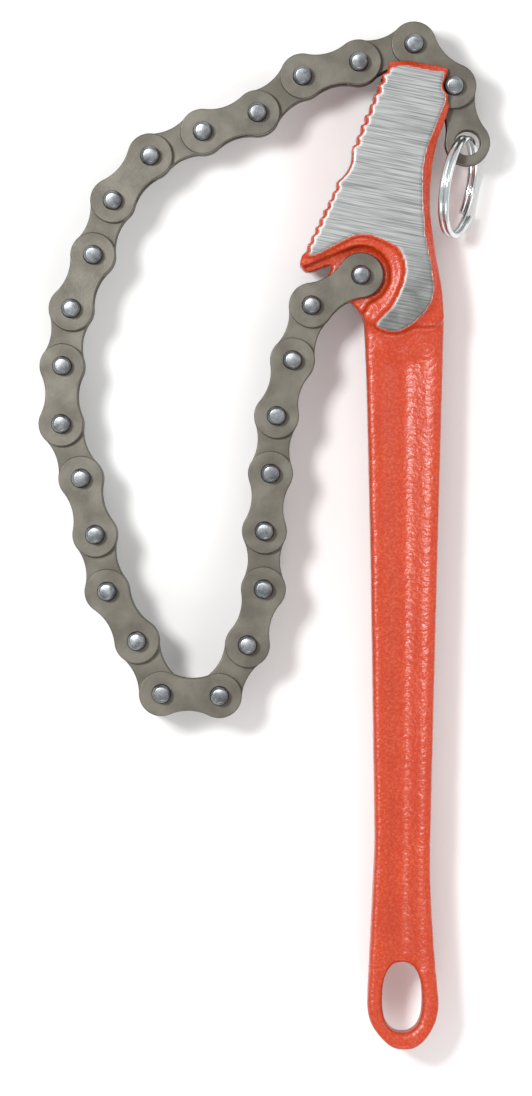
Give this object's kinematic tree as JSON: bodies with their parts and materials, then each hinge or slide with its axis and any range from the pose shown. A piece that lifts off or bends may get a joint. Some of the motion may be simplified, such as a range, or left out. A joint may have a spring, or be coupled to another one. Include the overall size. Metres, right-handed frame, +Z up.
{
  "type": "chain wrench",
  "caption": "Hand wrench with a cast toothed head and long handle, a pinned plate chain hooked over the head, and a split ring.",
  "frame": {"origin": "bottom centre of the whole tool, lying on its side", "axes": "+Y along the handle towards the head, +X towards the head's back, +Z up through the chain's pins"},
  "size_m": [0.1484, 0.3379, 0.033],
  "materials": {
    "cast_paint": "gloss",
    "plates": "satin",
    "pins": "satin",
    "bushes": "satin",
    "ring_zinc": "polished"
  },
  "bodies": {
    "casting": {"casting": "cast_paint"},
    "outer_link_01": {"outer_plates_01": "plates", "pin_pair_01": "pins"},
    "inner_link_01": {"inner_plates_01": "plates", "bush_pair_01": "bushes"},
    "outer_link_02": {"outer_plates_02": "plates", "pin_pair_02": "pins"},
    "inner_link_02": {"inner_plates_02": "plates", "bush_pair_02": "bushes"},
    "outer_link_03": {"outer_plates_03": "plates", "pin_pair_03": "pins"},
    "inner_link_03": {"inner_plates_03": "plates", "bush_pair_03": "bushes"},
    "outer_link_04": {"outer_plates_04": "plates", "pin_pair_04": "pins"},
    "inner_link_04": {"inner_plates_04": "plates", "bush_pair_04": "bushes"},
    "outer_link_05": {"outer_plates_05": "plates", "pin_pair_05": "pins"},
    "inner_link_05": {"inner_plates_05": "plates", "bush_pair_05": "bushes"},
    "outer_link_06": {"outer_plates_06": "plates", "pin_pair_06": "pins"},
    "inner_link_06": {"inner_plates_06": "plates", "bush_pair_06": "bushes"},
    "outer_link_07": {"outer_plates_07": "plates", "pin_pair_07": "pins"},
    "inner_link_07": {"inner_plates_07": "plates", "bush_pair_07": "bushes"},
    "outer_link_08": {"outer_plates_08": "plates", "pin_pair_08": "pins"},
    "inner_link_08": {"inner_plates_08": "plates", "bush_pair_08": "bushes"},
    "outer_link_09": {"outer_plates_09": "plates", "pin_pair_09": "pins"},
    "inner_link_09": {"inner_plates_09": "plates", "bush_pair_09": "bushes"},
    "outer_link_10": {"outer_plates_10": "plates", "pin_pair_10": "pins"},
    "inner_link_10": {"inner_plates_10": "plates", "bush_pair_10": "bushes"},
    "outer_link_11": {"outer_plates_11": "plates", "pin_pair_11": "pins"},
    "inner_link_11": {"inner_plates_11": "plates", "bush_pair_11": "bushes"},
    "outer_link_12": {"outer_plates_12": "plates", "pin_pair_12": "pins"},
    "inner_link_12": {"inner_plates_12": "plates", "bush_pair_12": "bushes"},
    "outer_link_13": {"outer_plates_13": "plates", "pin_pair_13": "pins"},
    "inner_link_13": {"inner_plates_13": "plates", "bush_pair_13": "bushes"},
    "ring": {"split_ring": "ring_zinc"}
  },
  "joints": [
    {"name": "pin_01_hinge", "type": "hinge", "parent": "casting", "child": "outer_link_01", "pos_m": [0.03166, 0.08568, 0.01722], "axis": [0, 0, 1], "range_deg": [-8, 0]},
    {"name": "pin_02_hinge", "type": "hinge", "parent": "outer_link_01", "child": "inner_link_01", "pos_m": [0.01542, 0.07572, 0.01722], "axis": [0, 0, -1], "range_deg": [0, 16]},
    {"name": "pin_03_hinge", "type": "hinge", "parent": "inner_link_01", "child": "outer_link_02", "pos_m": [0.00922, 0.05771, 0.01722], "axis": [0, 0, 1], "range_deg": [-16, 0]},
    {"name": "pin_04_hinge", "type": "hinge", "parent": "outer_link_02", "child": "inner_link_02", "pos_m": [0.00397, 0.0394, 0.01722], "axis": [0, 0, -1], "range_deg": [0, 16]},
    {"name": "pin_05_hinge", "type": "hinge", "parent": "inner_link_02", "child": "outer_link_03", "pos_m": [0.00198, 0.02045, 0.01722], "axis": [0, 0, 1], "range_deg": [-16, 0]},
    {"name": "pin_06_hinge", "type": "hinge", "parent": "outer_link_03", "child": "inner_link_03", "pos_m": [-0.00002, 0.00151, 0.01722], "axis": [0, 0, -1], "range_deg": [0, 16]},
    {"name": "pin_07_hinge", "type": "hinge", "parent": "inner_link_03", "child": "outer_link_04", "pos_m": [-0.00035, -0.01754, 0.01722], "axis": [0, 0, 1], "range_deg": [-16, 0]},
    {"name": "pin_08_hinge", "type": "hinge", "parent": "outer_link_04", "child": "inner_link_04", "pos_m": [-0.0056, -0.03585, 0.01722], "axis": [0, 0, -1], "range_deg": [0, 16]},
    {"name": "pin_09_hinge", "type": "hinge", "parent": "inner_link_04", "child": "outer_link_05", "pos_m": [-0.01483, -0.05251, 0.01722], "axis": [0, 0, 1], "range_deg": [-16, 0]},
    {"name": "pin_10_hinge", "type": "hinge", "parent": "outer_link_05", "child": "inner_link_05", "pos_m": [-0.03387, -0.05185, 0.01722], "axis": [0, 0, -1], "range_deg": [0, 13]},
    {"name": "pin_11_hinge", "type": "hinge", "parent": "inner_link_05", "child": "outer_link_06", "pos_m": [-0.04192, -0.03458, 0.01722], "axis": [0, 0, 1], "range_deg": [0, 13]},
    {"name": "pin_12_hinge", "type": "hinge", "parent": "outer_link_06", "child": "inner_link_06", "pos_m": [-0.05174, -0.01825, 0.01722], "axis": [0, 0, 1], "range_deg": [0, 16]},
    {"name": "pin_13_hinge", "type": "hinge", "parent": "inner_link_06", "child": "outer_link_07", "pos_m": [-0.0557, 0.00038, 0.01722], "axis": [0, 0, 1], "range_deg": [0, 16]},
    {"name": "pin_14_hinge", "type": "hinge", "parent": "outer_link_07", "child": "inner_link_07", "pos_m": [-0.0603, 0.01886, 0.01722], "axis": [0, 0, 1], "range_deg": [0, 16]},
    {"name": "pin_15_hinge", "type": "hinge", "parent": "inner_link_07", "child": "outer_link_08", "pos_m": [-0.06682, 0.03677, 0.01722], "axis": [0, 0, 1], "range_deg": [0, 16]},
    {"name": "pin_16_hinge", "type": "hinge", "parent": "outer_link_08", "child": "inner_link_08", "pos_m": [-0.06649, 0.05581, 0.01722], "axis": [0, 0, 1], "range_deg": [0, 16]},
    {"name": "pin_17_hinge", "type": "hinge", "parent": "inner_link_08", "child": "outer_link_09", "pos_m": [-0.06351, 0.07463, 0.01722], "axis": [0, 0, 1], "range_deg": [0, 16]},
    {"name": "pin_18_hinge", "type": "hinge", "parent": "outer_link_09", "child": "inner_link_09", "pos_m": [-0.05637, 0.09229, 0.01722], "axis": [0, 0, 1], "range_deg": [0, 16]},
    {"name": "pin_19_hinge", "type": "hinge", "parent": "inner_link_09", "child": "outer_link_10", "pos_m": [-0.04985, 0.11019, 0.01722], "axis": [0, 0, 1], "range_deg": [0, 16]},
    {"name": "pin_20_hinge", "type": "hinge", "parent": "outer_link_10", "child": "inner_link_10", "pos_m": [-0.03761, 0.12479, 0.01722], "axis": [0, 0, 1], "range_deg": [0, 8]},
    {"name": "pin_21_hinge", "type": "hinge", "parent": "inner_link_10", "child": "outer_link_11", "pos_m": [-0.02034, 0.13284, 0.01722], "axis": [0, 0, 1], "range_deg": [0, 4]},
    {"name": "pin_22_hinge", "type": "hinge", "parent": "outer_link_11", "child": "inner_link_11", "pos_m": [-0.00233, 0.13904, 0.01722], "axis": [0, 0, 1], "range_deg": [0, 6]},
    {"name": "pin_23_hinge", "type": "hinge", "parent": "inner_link_11", "child": "outer_link_12", "pos_m": [0.01247, 0.15103, 0.01722], "axis": [0, 0, 1], "range_deg": [0, 10]},
    {"name": "pin_24_hinge", "type": "hinge", "parent": "outer_link_12", "child": "inner_link_12", "pos_m": [0.03096, 0.15564, 0.01722], "axis": [0, 0, 1], "range_deg": [0, 20]},
    {"name": "pin_25_hinge", "type": "hinge", "parent": "inner_link_12", "child": "outer_link_13", "pos_m": [0.04907, 0.16152, 0.01722], "axis": [0, 0, 1], "range_deg": [0, 100]},
    {"name": "pin_26_hinge", "type": "hinge", "parent": "outer_link_13", "child": "inner_link_13", "pos_m": [0.06221, 0.14773, 0.01722], "axis": [0, 0, 1], "range_deg": [0, 60]},
    {"name": "ring_swing", "type": "hinge", "parent": "inner_link_13", "child": "ring", "pos_m": [0.06682, 0.12924, 0.01722], "axis": [0, 0, 1], "range_deg": [0, 60]}
  ],
  "couplings": [
    {"joint": "pin_11_hinge", "follows": "pin_10_hinge", "ratio": 1},
    {"joint": "pin_12_hinge", "follows": "pin_09_hinge", "ratio": -1},
    {"joint": "pin_13_hinge", "follows": "pin_08_hinge", "ratio": 1},
    {"joint": "pin_14_hinge", "follows": "pin_07_hinge", "ratio": -1},
    {"joint": "pin_15_hinge", "follows": "pin_06_hinge", "ratio": 1},
    {"joint": "pin_16_hinge", "follows": "pin_05_hinge", "ratio": -1},
    {"joint": "pin_17_hinge", "follows": "pin_04_hinge", "ratio": 1},
    {"joint": "pin_18_hinge", "follows": "pin_03_hinge", "ratio": -1},
    {"joint": "pin_19_hinge", "follows": "pin_02_hinge", "ratio": 1},
    {"joint": "pin_20_hinge", "follows": "pin_01_hinge", "ratio": -1},
    {"joint": "pin_21_hinge", "follows": "pin_25_hinge", "ratio": 0.04},
    {"joint": "pin_22_hinge", "follows": "pin_25_hinge", "ratio": 0.06},
    {"joint": "pin_24_hinge", "follows": "pin_25_hinge", "ratio": 0.2},
    {"joint": "pin_23_hinge", "follows": "pin_25_hinge", "ratio": 0.1}
  ]
}
